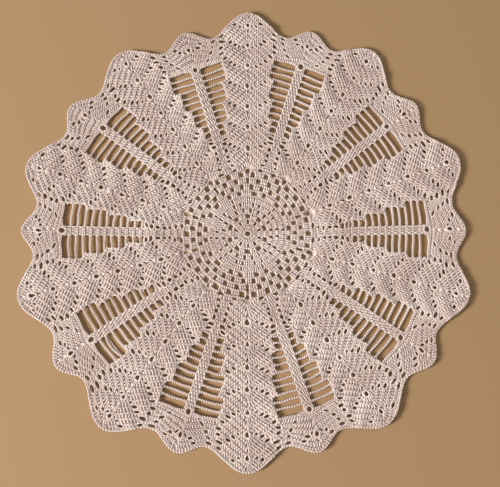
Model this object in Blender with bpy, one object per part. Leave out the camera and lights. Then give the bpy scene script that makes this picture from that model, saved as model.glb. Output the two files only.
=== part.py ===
"""Round crocheted lace doily, lying flat: ten petals of close double crochet, ten chain ladders between
them, a netted ring round a wheel, and a scalloped rim. Units are metres, +Z is up, and the thing is one
piece of work from its first ring to its rim, so it is one closed solid with the openings cut through."""

from collections import namedtuple
from math import atan2, cos, degrees, dist, hypot, pi, radians, sin

import bmesh
import bpy
from mathutils import Vector
from mathutils.geometry import delaunay_2d_cdt

# Driving dimensions. Lengths along the cloth are in millimetres until the mesh is made.
METRES_PER_MM = 0.001
REPEATS = 10
REPEAT_DEG = 360.0 / REPEATS
HALF_REPEAT_DEG = REPEAT_DEG / 2

# The doily as it lies: a row for each repeat, counter-clockwise from +X. Bearings are in degrees and
# reaches from the first ring are in millimetres. A row holds one ladder with the small scallop beyond
# it, the valley after that, the next petal with its large scallop, and the valley after the petal.
# The last two columns say how far the edge of each scallop stands off the table.
Repeat = namedtuple(
    "Repeat",
    "ladder_deg ladder_end small_deg small_reach valley "
    "petal_deg petal_reach next_valley small_lift petal_lift",
)
LAID_REPEATS = (
    Repeat(1.4, 145.1, 1.0, 176.2, 168.3, 20.0, 184.6, 168.8, 0.8, 1.2),
    Repeat(37.9, 146.7, 38.0, 177.5, 170.2, 56.0, 188.8, 172.8, 1.0, 0.8),
    Repeat(72.6, 149.4, 72.5, 182.0, 171.8, 90.0, 191.0, 171.1, 0.4, 1.0),
    Repeat(107.6, 146.3, 107.5, 181.0, 170.4, 125.2, 189.0, 172.4, 0.3, 0.3),
    Repeat(143.4, 149.5, 144.0, 183.0, 172.7, 162.3, 190.8, 173.2, 0.2, 0.4),
    Repeat(178.9, 150.1, 179.0, 183.0, 173.6, 196.2, 190.4, 173.6, 0.3, 0.5),
    Repeat(214.5, 149.8, 215.0, 184.0, 173.4, 233.2, 190.0, 170.2, 0.6, 0.4),
    Repeat(251.8, 147.1, 252.0, 179.4, 169.9, 270.0, 186.2, 169.4, 0.7, 1.0),
    Repeat(289.0, 146.5, 288.0, 179.0, 169.9, 306.2, 184.8, 169.4, 0.8, 1.2),
    Repeat(325.7, 146.7, 325.0, 178.3, 169.1, 343.7, 183.6, 168.9, 0.9, 1.3),
)
VALLEY_AFTER_SMALL = 0.38
VALLEY_AFTER_PETAL = 0.60
RIM_STEPS = 5

# The even chart that the laid doily is pulled from.
CHART_LADDER_END = 147.7
CHART_PETAL_REACH = 187.9
SHIFT_FULL_AT = 100.0
LIFT_FROM = 150.0

# Ladders: twelve rows of slots on each side of a rib, shorter by a step at every third row.
SLOT_ROWS = 12
ROWS_A_STEP = 3
ROUND_PITCH = 5.6
FIRST_SLOT_AT = 144.3
SIDE_STAGGER = 0.5
RIB_HALF_WIDTH = 3.3
FIRST_SLOT_END = 23.9
SLOT_END_STEP = 4.8
SLOT_HEIGHT = 3.4
SLOT_SAG = 1.4
TOP_SLOT_RISE = 1.8
# Corners along a slot's long edge: share of its length, and how much of a chain's slip they take.
SLOT_EDGE_CORNERS = ((0.0, 0.0), (0.55, 1.0), (1.0, 0.5))

# One chain in the seventh ladder has slipped outwards and closes up the slot beyond it.
SLIPPED_LADDER = 6
SLIPPED_SIDE = 1
SLIPPED_CHAIN = 1
CHAIN_SLIP = 2.6

# Other openings of each repeat: reach, bearing from the ladder, size along the reach and across it.
# The larger ones have six corners, the smaller ones four.
Eyelet = namedtuple("Eyelet", "reach bearing along across")
EYELETS = (
    Eyelet(148.6, 0.0, 4.6, 4.6),
    Eyelet(49.0, -12.2, 3.9, 4.7),
    Eyelet(49.0, 0.3, 3.9, 4.7),
    Eyelet(49.0, 12.5, 3.9, 4.7),
    Eyelet(52.4, HALF_REPEAT_DEG, 3.4, 4.3),
    Eyelet(44.2, HALF_REPEAT_DEG, 6.6, 2.5),
)
SIX_CORNERS_FROM = 4.5
SIX_CORNER_SWELL = 1.08
FOUR_CORNER_SWELL = 1.4

# Petals: a line of pinholes up the middle, a slanting trough to each side of every one and a fold
# between troughs, each as points given across the petal and ahead of the pinhole.
PINHOLES = 7
FIRST_PINHOLE_AT = 71.5
PINHOLE_PITCH = 17.45
TROUGH_POINTS = ((5.5, -0.8), (11.0, 1.2), (17.0, 5.6))
FOLD_POINTS = ((0.0, 9.0), (8.0, 8.0), (15.0, 12.0))

# A relief point keeps this far from the corners of the openings, and an opening is looked at only if
# it starts within its own length of the point.
RELIEF_MARGIN = 1.6
LONGEST_OPENING = 30.0

# Heights of the upper face over the table, and the rings of raised points as reach and count.
EDGE_TOP = 1.5
RIM_CORD_TOP = 2.1
RIM_CORD_INSET = 2.2
RIB_TOP = 2.6
RIB_FROM = 62.0
TROUGH_TOP = 1.3
FOLD_TOP = 2.5
WHEEL_TOP = 2.2
WHEEL_RINGS = ((0.0, 1), (15.0, 10), (29.0, 20))
NET_TOP = 1.7
NET_RINGS = ((38.6, 30), (58.0, 20))

FILL_TOLERANCE = 1e-5
COTTON_COLOUR = (0.70, 0.60, 0.53, 1.0)
COTTON_ROUGHNESS = 0.9


def ease_between(knots, bearing):
    """Value at a bearing, eased by a half cosine between (bearing, value) knots that go once round."""
    knots = sorted((knot[0] % 360.0, knot[1]) for knot in knots)
    bearing %= 360.0
    before = knots[-1]
    for after in knots + [(knots[0][0] + 360.0, knots[0][1])]:
        if bearing < after[0]:
            break
        before = after
    span = (after[0] - before[0]) % 360.0
    share = ((bearing - before[0]) % 360.0) / span
    return before[1] + (after[1] - before[1]) * (1 - cos(pi * share)) / 2


def rim_knots(lifts=False):
    """Scallop tips and valleys of the laid rim, as (bearing, reach) or (bearing, lift) knots."""
    knots = []
    for index, row in enumerate(LAID_REPEATS):
        following = LAID_REPEATS[(index + 1) % REPEATS].small_deg
        to_petal = row.petal_deg - row.small_deg
        to_small = (following - row.petal_deg) % 360.0
        after_small = row.small_deg + VALLEY_AFTER_SMALL * to_petal
        after_petal = row.petal_deg + VALLEY_AFTER_PETAL * to_small
        knots.append((row.small_deg, row.small_lift if lifts else row.small_reach))
        knots.append((after_small, 0.0 if lifts else row.valley))
        knots.append((row.petal_deg, row.petal_lift if lifts else row.petal_reach))
        knots.append((after_petal, 0.0 if lifts else row.next_valley))
    return knots


RIM_KNOTS = rim_knots()
LIFT_KNOTS = rim_knots(lifts=True)
SHIFT_KNOTS = []
STRETCH_KNOTS = []
for turn, laid in enumerate(LAID_REPEATS):
    even_deg = turn * REPEAT_DEG
    SHIFT_KNOTS.append((even_deg, laid.ladder_deg - even_deg))
    SHIFT_KNOTS.append((even_deg + HALF_REPEAT_DEG, laid.petal_deg - even_deg - HALF_REPEAT_DEG))
    STRETCH_KNOTS.append((even_deg, laid.ladder_end / CHART_LADDER_END))
    STRETCH_KNOTS.append((even_deg + HALF_REPEAT_DEG, laid.petal_reach / CHART_PETAL_REACH))


def lay(reach, bearing):
    """Pull a place of the even chart to where it lies, as x and y in millimetres."""
    laid_deg = bearing + ease_between(SHIFT_KNOTS, bearing) * min(1.0, reach / SHIFT_FULL_AT)
    stretch = ease_between(STRETCH_KNOTS, bearing) - 1.0
    laid_reach = reach * (1.0 + stretch * min(1.0, reach / CHART_LADDER_END))
    return laid_reach * cos(radians(laid_deg)), laid_reach * sin(radians(laid_deg))


def lay_from_axis(axis_deg, along, across):
    """Lay a place given along an axis of the chart and across it."""
    return lay(hypot(along, across), axis_deg + degrees(atan2(across, along)))


def lift_at(place):
    """How far the cloth stands off the table at a place: only the scallops' edges rise."""
    reach = hypot(*place)
    bearing = degrees(atan2(place[1], place[0]))
    rim = ease_between(RIM_KNOTS, bearing)
    share = (reach - LIFT_FROM) / (rim - LIFT_FROM)
    return ease_between(LIFT_KNOTS, bearing) * min(1.0, max(0.0, share))


def rim_loop(inset=0.0):
    """The scalloped outline, or the same line a little way in from it."""
    places = []
    bearings = sorted(knot[0] % 360.0 for knot in RIM_KNOTS)
    for index, start in enumerate(bearings):
        span = (bearings[(index + 1) % len(bearings)] - start) % 360.0
        for step in range(RIM_STEPS):
            bearing = start + span * step / RIM_STEPS
            reach = ease_between(RIM_KNOTS, bearing) - inset
            places.append((reach * cos(radians(bearing)), reach * sin(radians(bearing))))
    return places


def chain_slip(ladder, side, chain):
    """Outward bulge at the middle of one chain of a ladder."""
    slipped = (ladder, side, chain) == (SLIPPED_LADDER, SLIPPED_SIDE, SLIPPED_CHAIN)
    return CHAIN_SLIP if slipped else 0.0


def ladder_slot(ladder, side, row):
    """One slot between two chains: six corners, bent a little towards the first ring at its far end."""
    middle = FIRST_SLOT_AT - row * ROUND_PITCH + side * SIDE_STAGGER
    far = FIRST_SLOT_END - SLOT_END_STEP * (row // ROWS_A_STEP)
    outer_rise = TOP_SLOT_RISE if row == 0 else 0.0
    corners = []
    for edge, chain in ((-1, row), (1, row - 1)):
        bulge = chain_slip(ladder, side, chain)
        edge_line = []
        for share, slip in SLOT_EDGE_CORNERS:
            across = RIB_HALF_WIDTH + (far - RIB_HALF_WIDTH) * share
            along = middle + edge * SLOT_HEIGHT / 2 - SLOT_SAG * share ** 2 + bulge * slip
            if edge > 0:
                along += outer_rise * share
            edge_line.append((along, side * across))
        corners += edge_line if edge < 0 else edge_line[::-1]
    if side > 0:
        corners.reverse()
    axis_deg = ladder * REPEAT_DEG
    return [lay_from_axis(axis_deg, along, across) for along, across in corners]


def eyelet(repeat, row):
    """A small rounded opening of four or six corners."""
    sides = 6 if max(row.along, row.across) > SIX_CORNERS_FROM else 4
    swell = SIX_CORNER_SWELL if sides == 6 else FOUR_CORNER_SWELL
    axis_deg = repeat * REPEAT_DEG + row.bearing
    corners = []
    for step in range(sides):
        turn_angle = 2 * pi * (step + 0.5) / sides
        along = row.reach + swell * row.along / 2 * cos(turn_angle)
        across = swell * row.across / 2 * sin(turn_angle)
        corners.append(lay_from_axis(axis_deg, along, across))
    return corners


def opening_loops():
    """All openings over four millimetres that go right through the lace."""
    loops = []
    for repeat in range(REPEATS):
        for side in (-1, 1):
            for row in range(SLOT_ROWS):
                loops.append(ladder_slot(repeat, side, row))
        for row in EYELETS:
            loops.append(eyelet(repeat, row))
    return loops


def petal_relief(repeat):
    """Raised folds and slanting troughs of one petal, as (place, height)."""
    axis_deg = repeat * REPEAT_DEG + HALF_REPEAT_DEG
    places = []
    for number in range(PINHOLES):
        along = FIRST_PINHOLE_AT + number * PINHOLE_PITCH
        places.append((lay_from_axis(axis_deg, along, 0.0), TROUGH_TOP))
        for points, height in ((TROUGH_POINTS, TROUGH_TOP), (FOLD_POINTS, FOLD_TOP)):
            for across, ahead in points:
                for side in ((-1, 1) if across else (1,)):
                    places.append((lay_from_axis(axis_deg, along + ahead, side * across), height))
    return places


def ring_relief(rings, height):
    """Rings of raised points round the first ring."""
    places = []
    for reach, count in rings:
        for step in range(count):
            places.append((lay(reach, 360.0 * (step + 0.5) / count), height))
    return places


def rib_relief(repeat):
    """The raised rib up the middle of one ladder."""
    axis_deg = repeat * REPEAT_DEG
    places = []
    along = RIB_FROM
    while along < CHART_LADDER_END - ROUND_PITCH:
        places.append((lay_from_axis(axis_deg, along, 0.0), RIB_TOP))
        along += 2 * ROUND_PITCH
    return places


def inside(place, loop):
    """Whether a place lies within a closed loop."""
    crossings = False
    for start, end in zip(loop, loop[1:] + loop[:1]):
        if (start[1] > place[1]) != (end[1] > place[1]):
            share = (place[1] - start[1]) / (end[1] - start[1])
            crossings ^= place[0] < start[0] + share * (end[0] - start[0])
    return crossings


def relief_places(loops, rim):
    """Every raised or lowered point that keeps a margin from the openings and the rim."""
    wanted = [(place, RIM_CORD_TOP) for place in rim_loop(RIM_CORD_INSET)]
    wanted += ring_relief(WHEEL_RINGS, WHEEL_TOP) + ring_relief(NET_RINGS, NET_TOP)
    for repeat in range(REPEATS):
        wanted += petal_relief(repeat) + rib_relief(repeat)
    edges = [corner for loop in loops for corner in loop]
    kept = []
    for place, height in wanted:
        if any(dist(place, corner) < RELIEF_MARGIN for corner in edges):
            continue
        near = [loop for loop in loops if dist(place, loop[0]) < LONGEST_OPENING]
        if inside(place, rim) and not any(inside(place, loop) for loop in near):
            kept.append((place, height))
    return kept


def filled_face(loops, extra):
    """Triangles between the first loop and the others, with extra points taken in."""
    places = [Vector(place) for loop in loops for place in loop]
    places += [Vector(place) for place in extra]
    corners = []
    start = 0
    for loop in loops:
        corners.append(list(range(start, start + len(loop))))
        start += len(loop)
    filled = delaunay_2d_cdt(places, [], corners, 0, FILL_TOLERANCE, True)
    flat, triangles, sources, belongs = filled[0], filled[2], filled[3], filled[5]
    kept = [triangle for triangle, loop_ids in zip(triangles, belongs) if loop_ids == [0]]
    return flat, kept, [source[0] for source in sources]


def add_layer(mesh, loops, extra, height_of):
    """Add one face of the sheet and return its vertices by the number of their source point."""
    flat, triangles, sources = filled_face(loops, extra)
    vertices = {}
    for triangle in triangles:
        for index in triangle:
            source = sources[index]
            if source not in vertices:
                x, y = flat[index]
                height = height_of(source, (x, y))
                vertices[source] = mesh.verts.new(Vector((x, y, height)) * METRES_PER_MM)
        mesh.faces.new([vertices[sources[index]] for index in triangle])
    return vertices


def doily_mesh():
    """The closed sheet: upper face with its relief, underside, and the walls of rim and openings."""
    rim = rim_loop()
    loops = [rim] + opening_loops()
    relief = relief_places(loops[1:], rim)
    edge_count = sum(len(loop) for loop in loops)

    def upper_height(source, place):
        height = EDGE_TOP if source < edge_count else relief[source - edge_count][1]
        return height + lift_at(place)

    def lower_height(source, place):
        return lift_at(place)

    mesh = bmesh.new()
    upper = add_layer(mesh, loops, [place for place, height in relief], upper_height)
    lower = add_layer(mesh, loops, [], lower_height)
    start = 0
    for loop in loops:
        for step in range(len(loop)):
            here, ahead = start + step, start + (step + 1) % len(loop)
            mesh.faces.new((upper[here], upper[ahead], lower[ahead], lower[here]))
        start += len(loop)
    bmesh.ops.recalc_face_normals(mesh, faces=mesh.faces)
    data = bpy.data.meshes.new("lace_doily")
    mesh.to_mesh(data)
    mesh.free()
    return data


def cotton_material():
    """Unbleached crochet cotton: pale, warm and matt."""
    material = bpy.data.materials.new("crochet_cotton")
    material.use_nodes = True
    shader = material.node_tree.nodes["Principled BSDF"]
    shader.inputs["Base Color"].default_value = COTTON_COLOUR
    shader.inputs["Roughness"].default_value = COTTON_ROUGHNESS
    shader.inputs["Metallic"].default_value = 0.0
    return material


def centre_on_table(data):
    """Move the origin to the middle of the footprint, on the table."""
    for axis in (0, 1):
        values = [vertex.co[axis] for vertex in data.vertices]
        middle = (min(values) + max(values)) / 2
        for vertex in data.vertices:
            vertex.co[axis] -= middle


def clear_scene():
    for scene_object in list(bpy.data.objects):
        bpy.data.objects.remove(scene_object, do_unlink=True)


clear_scene()
doily_collection = bpy.data.collections.new("lace_doily")
bpy.context.scene.collection.children.link(doily_collection)
doily_data = doily_mesh()
centre_on_table(doily_data)
doily_data.materials.append(cotton_material())
doily = bpy.data.objects.new("lace_doily", doily_data)
doily_collection.objects.link(doily)
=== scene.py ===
from collections import namedtuple

import bpy
import numpy as np
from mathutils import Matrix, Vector
from mathutils.geometry import delaunay_2d_cdt


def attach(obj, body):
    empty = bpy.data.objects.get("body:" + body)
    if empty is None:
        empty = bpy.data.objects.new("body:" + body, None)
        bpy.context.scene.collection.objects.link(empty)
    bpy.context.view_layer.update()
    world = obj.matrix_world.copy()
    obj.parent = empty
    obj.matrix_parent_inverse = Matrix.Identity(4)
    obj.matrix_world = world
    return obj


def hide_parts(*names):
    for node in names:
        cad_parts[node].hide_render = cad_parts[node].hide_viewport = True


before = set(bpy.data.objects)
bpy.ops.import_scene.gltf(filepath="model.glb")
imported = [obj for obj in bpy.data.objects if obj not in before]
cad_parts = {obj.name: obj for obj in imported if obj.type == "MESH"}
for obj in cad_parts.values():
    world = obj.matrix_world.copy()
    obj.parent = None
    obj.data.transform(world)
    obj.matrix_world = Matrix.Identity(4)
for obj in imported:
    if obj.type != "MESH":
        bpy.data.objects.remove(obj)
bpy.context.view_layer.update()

mm = 0.001
rng = np.random.default_rng(23)

# the doily as it lies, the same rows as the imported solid: bearings in degrees,
# reaches in mm from the first ring, lifts of the scallops in mm off the table
Repeat = namedtuple(
    "Repeat",
    "ladderDeg ladderEnd smallDeg smallReach valley "
    "petalDeg petalReach nextValley smallLift petalLift",
)
laidRepeats = (
    Repeat(1.4, 145.1, 1.0, 176.2, 168.3, 20.0, 184.6, 168.8, 0.8, 1.2),
    Repeat(37.9, 146.7, 38.0, 177.5, 170.2, 56.0, 188.8, 172.8, 1.0, 0.8),
    Repeat(72.6, 149.4, 72.5, 182.0, 171.8, 90.0, 191.0, 171.1, 0.4, 1.0),
    Repeat(107.6, 146.3, 107.5, 181.0, 170.4, 125.2, 189.0, 172.4, 0.3, 0.3),
    Repeat(143.4, 149.5, 144.0, 183.0, 172.7, 162.3, 190.8, 173.2, 0.2, 0.4),
    Repeat(178.9, 150.1, 179.0, 183.0, 173.6, 196.2, 190.4, 173.6, 0.3, 0.5),
    Repeat(214.5, 149.8, 215.0, 184.0, 173.4, 233.2, 190.0, 170.2, 0.6, 0.4),
    Repeat(251.8, 147.1, 252.0, 179.4, 169.9, 270.0, 186.2, 169.4, 0.7, 1.0),
    Repeat(289.0, 146.5, 288.0, 179.0, 169.9, 306.2, 184.8, 169.4, 0.8, 1.2),
    Repeat(325.7, 146.7, 325.0, 178.3, 169.1, 343.7, 183.6, 168.9, 0.9, 1.3),
)
# all yarn is drawn in an even chart of ten repeats, which then eases into the doily as it lies
chart = {
    "repeats": 10, "repeatDeg": 36.0, "halfDeg": 18.0,
    "ladderEnd": 147.7, "petalReach": 187.9, "shiftFullAt": 100.0, "liftFrom": 150.0,
    "valleyAfterSmall": 0.38, "valleyAfterPetal": 0.60, "rimSteps": 12, "unlayRounds": 6,
}
ladderAxes = [turn * chart["repeatDeg"] for turn in range(chart["repeats"])]
petalAxes = [axisDeg + chart["halfDeg"] for axisDeg in ladderAxes]


def easeBetween(knots, bearing):
    # half cosine between (bearing, value) knots that go once round
    knots = sorted((knot[0] % 360.0, knot[1]) for knot in knots)
    before = (knots[-1][0] - 360.0, knots[-1][1])
    after = (knots[0][0] + 360.0, knots[0][1])
    starts, values = np.array([before] + knots + [after]).T
    bearing = np.asarray(bearing, float) % 360.0
    index = np.clip(np.searchsorted(starts, bearing, side="right") - 1, 0, len(starts) - 2)
    share = (bearing - starts[index]) / (starts[index + 1] - starts[index])
    return values[index] + (values[index + 1] - values[index]) * (1 - np.cos(np.pi * share)) / 2


def rimKnots(lifts=False):
    # the rim's reaches, or its lifts, at the scallops' tips and the valleys between them
    knots = []
    for row, following in zip(laidRepeats, laidRepeats[1:] + laidRepeats[:1]):
        toPetal = row.petalDeg - row.smallDeg
        toSmall = (following.smallDeg - row.petalDeg) % 360.0
        afterSmall = row.smallDeg + chart["valleyAfterSmall"] * toPetal
        afterPetal = row.petalDeg + chart["valleyAfterPetal"] * toSmall
        values = (row.smallReach, row.valley, row.petalReach, row.nextValley)
        if lifts:
            values = (row.smallLift, 0.0, row.petalLift, 0.0)
        knots += zip((row.smallDeg, afterSmall, row.petalDeg, afterPetal), values)
    return knots


rimReaches = rimKnots()
rimLifts = rimKnots(lifts=True)
# how far each axis is turned from its even bearing, and how much longer its repeat is
shifts = []
stretches = []
for laid, ladderDeg, petalDeg in zip(laidRepeats, ladderAxes, petalAxes):
    shifts += [(ladderDeg, laid.ladderDeg - ladderDeg), (petalDeg, laid.petalDeg - petalDeg)]
    stretches += [(ladderDeg, laid.ladderEnd / chart["ladderEnd"]),
                  (petalDeg, laid.petalReach / chart["petalReach"])]


def polar(places):
    x, y = places[..., 0], places[..., 1]
    return np.hypot(x, y), np.degrees(np.arctan2(y, x))


def fromPolar(reach, bearing):
    turnBy = np.radians(bearing)
    return np.stack([reach * np.cos(turnBy), reach * np.sin(turnBy)], -1)


def lay(places):
    # even chart to the doily as it lies, both in mm round the first ring
    reach, bearing = polar(places)
    laidDeg = bearing + easeBetween(shifts, bearing) * np.minimum(1.0, reach / chart["shiftFullAt"])
    stretch = easeBetween(stretches, bearing) - 1.0
    laidReach = reach * (1.0 + stretch * np.minimum(1.0, reach / chart["ladderEnd"]))
    return fromPolar(laidReach, laidDeg)


def unlay(places):
    # the other way, by a few rounds of correction
    guess = np.array(places, float)
    for _ in range(chart["unlayRounds"]):
        guess = guess + (places - lay(guess))
    return guess


def liftAt(laidPlaces):
    # the scallops' edges stand off the table a little
    reach, bearing = polar(laidPlaces)
    rim = easeBetween(rimReaches, bearing)
    share = (reach - chart["liftFrom"]) / (rim - chart["liftFrom"])
    return easeBetween(rimLifts, bearing) * np.clip(share, 0.0, 1.0)


rimBearings = []
knotBearings = sorted(knot[0] % 360.0 for knot in rimReaches)
for start, following in zip(knotBearings, knotBearings[1:] + knotBearings[:1]):
    span = (following - start) % 360.0
    rimBearings += [start + span * step / chart["rimSteps"] for step in range(chart["rimSteps"])]
rimBearings = np.array(rimBearings)
rimPlaces = fromPolar(easeBetween(rimReaches, rimBearings), rimBearings)
middle = (rimPlaces.min(0) + rimPlaces.max(0)) / 2


def onAxis(axisDeg, along, across):
    # chart place given along an axis and across it, counter-clockwise side positive
    turnBy = np.radians(axisDeg)
    along, across = np.broadcast_arrays(np.asarray(along, float), np.asarray(across, float))
    x = along * np.cos(turnBy) - across * np.sin(turnBy)
    y = along * np.sin(turnBy) + across * np.cos(turnBy)
    return np.stack([x, y], -1)


def routeOn(axisDeg, along, across, height):
    # a route along and across an axis, with its heights
    flat = onAxis(axisDeg, along, across)
    return np.concatenate([flat, np.broadcast_to(height, len(flat))[:, None]], 1)


def besideAxis(places, startDeg):
    reach, bearing = polar(places)
    turned = fromPolar(reach, (bearing + startDeg) % chart["repeatDeg"] - chart["halfDeg"])
    return turned[..., 0], turned[..., 1]


def besideLadder(places):
    # chart places as along and across from the nearest ladder's axis
    return besideAxis(places, chart["halfDeg"])


def besidePetal(places):
    # and from the nearest petal's axis
    return besideAxis(places, 0.0)


# petals: inverted V rounds on both sides of an axis, with a pinhole in every third round
petal = {
    "firstPinhole": 52.0, "secondPinhole": 71.5, "rowsAPinhole": 3, "rows": 25, "rowPitch": 5.82,
    "posts": 14, "postPitch": 1.85, "slope": 0.85, "pointRound": 2.0,
    "lean": (-0.60, 0.22), "turnLean": 0.36, "leanFullAt": 4.0,
    "ladderClear": 1.4, "footClearTo": 80.5, "rimOverlap": 0.8,
}


def petalRowAt(row):
    # where a round's middle crosses the petal's axis: the first three rounds are taller
    early, first = petal["rowsAPinhole"], petal["firstPinhole"]
    if row < early:
        return first + row * (petal["secondPinhole"] - first) / early
    return petal["secondPinhole"] + (row - early) * petal["rowPitch"]


def veeAt(across):
    # how far a petal's round falls back at a distance from the axis, rounded at its point
    return petal["slope"] * (np.hypot(across, petal["pointRound"]) - petal["pointRound"])


# ladders: chains between twelve rows of slots on each side of a rib of posts
ladder = {
    "slotRows": 12, "rowsAStep": 3, "pitch": 5.6, "firstSlotAt": 144.3, "sideStagger": 0.5,
    "slotHeight": 3.4, "firstFar": 23.9, "farStep": 4.8, "footFar": 5.3, "lastRowShare": 0.4,
    "openFrom": 84.0, "openTo": 148.5, "tipEdge": 147.0, "tipEdgeRise": 6.0,
    # the rib
    "ribHalfWidth": 3.3, "ribTop": 145.2, "ribRounds": 17, "ribPostGap": 2.15,
    "ribLean": 0.4, "ribLift": 0.05,
    # the chains: how they hang, and the one that has slipped as turn, side and number
    "sag": 1.4, "uneven": 0.12, "wander": 0.28, "wanderTurns": (4.0, 9.0), "wanderFrom": (0.0, 6.3),
    "intoRib": 0.8, "intoPetal": 1.2, "chainWidth": 0.8, "chainHeight": -0.15,
    "chainRise": 0.25, "chainSteps": 9,
    "slipped": (6, 1, 1), "slip": 2.6, "slipEnds": 1.05, "slipPower": 1.2,
    # the yarn that turns round a slot's end
    "endReach": 0.35, "endDepth": 1.5, "endHalf": 2.5, "endHeight": 1.35, "endDrop": 0.5,
    "endRadius": 0.55, "endSteps": 6,
}


def slotAlong(row, side):
    # how far out the middle of a row's slots lies beside the rib
    return ladder["firstSlotAt"] - row * ladder["pitch"] + side * ladder["sideStagger"]


def slotFar(row):
    # how far across a row's slots reach: every three rows they are one step shorter
    return ladder["firstFar"] - ladder["farStep"] * (row // ladder["rowsAStep"])


def farAt(along):
    # how far across the ladder reaches at a distance along it
    row = np.round((ladder["firstSlotAt"] - along) / ladder["pitch"])
    lowest = ladder["firstSlotAt"] - (ladder["slotRows"] - ladder["lastRowShare"]) * ladder["pitch"]
    row = np.clip(row, 0, ladder["slotRows"] - 1)
    return np.where(along < lowest, ladder["footFar"], slotFar(row))


# the wheel and the net: where each round begins, and how its posts stand between the gaps
wheel = {
    "roundsFrom": (4.2, 8.0, 12.0, 17.0, 21.8, 26.5, 31.2, 36.2, 41.2, 46.5, 52.0),
    "netReach": 56.0, "postPitch": 1.72, "postThick": 0.88, "postClear": 0.5, "postLift": 0.12,
    "topPitch": 1.9, "topBand": 0.8, "topSink": 0.42, "sunkWithin": 38.0,
    "gapAcross": 0.74, "gapAlong": 0.80,
    "ring": (3.25, 2.85), "ringHole": (2.3, 1.95),
    "ringSteps": 28, "ringHeight": 0.25, "ringWidth": 0.95, "ringPitch": 1.7,
}
# gaps that the yarn is drawn round, in one repeat, as along, across, half length, half width, and
# turn of the length in degrees from across. The wheel's are from the first ring, by bearing
Gap = namedtuple("Gap", "along across halfLength halfWidth turn")


def polarGap(reach, bearing, along, across):
    # a gap between two rounds, by its size along the bearing and across it
    halfLength, halfWidth = wheel["gapAcross"] * across / 2, wheel["gapAlong"] * along / 2
    return Gap(*fromPolar(reach, bearing), halfLength, halfWidth, bearing)


wheelGaps = [polarGap(*row) for row in (
    (9.8, 18, 3.6, 1.7), (14.6, 18, 2.7, 4.7), (19.3, -8, 3.0, 1.7), (19.3, 10.6, 3.0, 1.7),
    (24.5, -4.5, 2.6, 1.4), (24.5, 8.2, 2.6, 1.4), (29.4, 7, 2.2, 1.1), (33.8, -6, 3.2, 4.4),
    (33.8, 8.5, 3.2, 4.4), (38.7, -11, 4.0, 3.5), (38.7, 0.8, 4.0, 3.5), (38.7, 13, 4.0, 3.5),
    (44, 18, 6.4, 2.2), (44, -5.7, 4.0, 4.0), (44, 6.8, 4.0, 4.0), (49.2, -12.0, 4.2, 4.4),
    (49.2, 0.4, 4.2, 4.4), (49.2, 12.5, 4.2, 4.4), (53.3, 6.2, 2.2, 5.8), (53.3, -6.2, 2.2, 5.8),
    (58, 5.3, 1.8, 4.2), (58, -5.3, 1.8, 4.2),
)]
# beside the rib's foot, at the ladder's tip and in the small scallop, from the ladder's axis
footGaps = [Gap(*row, 0) for row in (
    (62.4, 4.1, 1.2, 1.0), (66.7, 4.2, 1.0, 1.5), (71.8, 4.3, 1.1, 1.6), (77.4, 4.9, 2.2, 1.2),
)]
tipHole = Gap(147.4, 0.0, 1.7, 2.05, 0)
scallopTopHole = Gap(166.0, 0.0, 1.15, 1.75, 0)
scallopArm = [Gap(*row) for row in (
    (164.6, 3.9, 1.6, 0.7, -45), (166.0, 7.9, 1.7, 0.9, 15), (168.9, 11.4, 1.8, 0.9, 15),
    (152.9, 13.0, 2.3, 0.7, -20), (157.6, 17.6, 1.7, 0.9, -25), (162.0, 20.6, 1.6, 0.9, -15),
    (166.0, 22.3, 2.1, 0.9, 0),
)]
# where a petal meets the small scallops, from the petal's axis
junctionGaps = [Gap(*row) for row in (
    (149.0, 21.3, 2.6, 1.0, -10), (153.4, 22.6, 2.1, 1.0, 20), (157.9, 22.8, 1.7, 1.1, 30),
    (163.8, 21.6, 2.5, 1.1, 20), (168.6, 22.4, 2.0, 1.0, 35),
)]
# the arm of slanting gaps beside each pinhole of a petal, along counted from the pinhole
armGaps = [Gap(*row) for row in (
    (-1.6, 3.3, 1.1, 0.50, -40), (-0.5, 7.0, 1.15, 0.72, 30), (1.3, 11.1, 1.6, 0.88, 28),
    (3.6, 14.8, 1.85, 0.92, 30), (7.6, 19.4, 1.9, 0.92, 35),
)]
# the pinholes of a petal, and how long each one's arms are: the rim cuts the last ones short
pinhole = {
    "arms": (0, 5, 5, 5, 5, 5, 4, 3), "halfLong": 1.78, "shrinkARow": 0.009, "halfWide": 1.32,
    "slit": (0.45, 1.0), "slitBelow": 6.0, "clearOfRib": 3.5, "clearOfLadder": 2.4,
}


def bothSides(gaps):
    return gaps + [gap._replace(across=-gap.across, turn=-gap.turn) for gap in gaps]


petalGaps = []
for number, arms in enumerate(pinhole["arms"]):
    row = number * petal["rowsAPinhole"]
    pinholeAt = petalRowAt(row)
    halfLong = pinhole["halfLong"] * (1.0 - pinhole["shrinkARow"] * row)
    petalGaps.append(Gap(pinholeAt, 0.0, pinhole["halfWide"], halfLong, 0))
    if arms:
        petalGaps.append(Gap(pinholeAt - pinhole["slitBelow"], 0.0, *pinhole["slit"], 0))
        arm = [gap._replace(along=pinholeAt + gap.along) for gap in armGaps[:arms]]
        petalGaps += bothSides(arm)
petalGaps += bothSides(junctionGaps)
ladderGaps = wheelGaps + bothSides(footGaps) + [tipHole, scallopTopHole] + bothSides(scallopArm)


def amongSlots(place):
    # whether a small gap would fall among a ladder's slots
    along, across = besideLadder(place)
    beside = pinhole["clearOfRib"] < abs(across) < farAt(along) + pinhole["clearOfLadder"]
    return ladder["openFrom"] < along < ladder["openTo"] and beside


# no two gaps came out quite alike; those of the net are squarer than the others
gapShape = {"place": 0.22, "turnDeg": 6.0, "size": 0.11, "netSquareness": 3.2, "squareness": 2.0}


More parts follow.
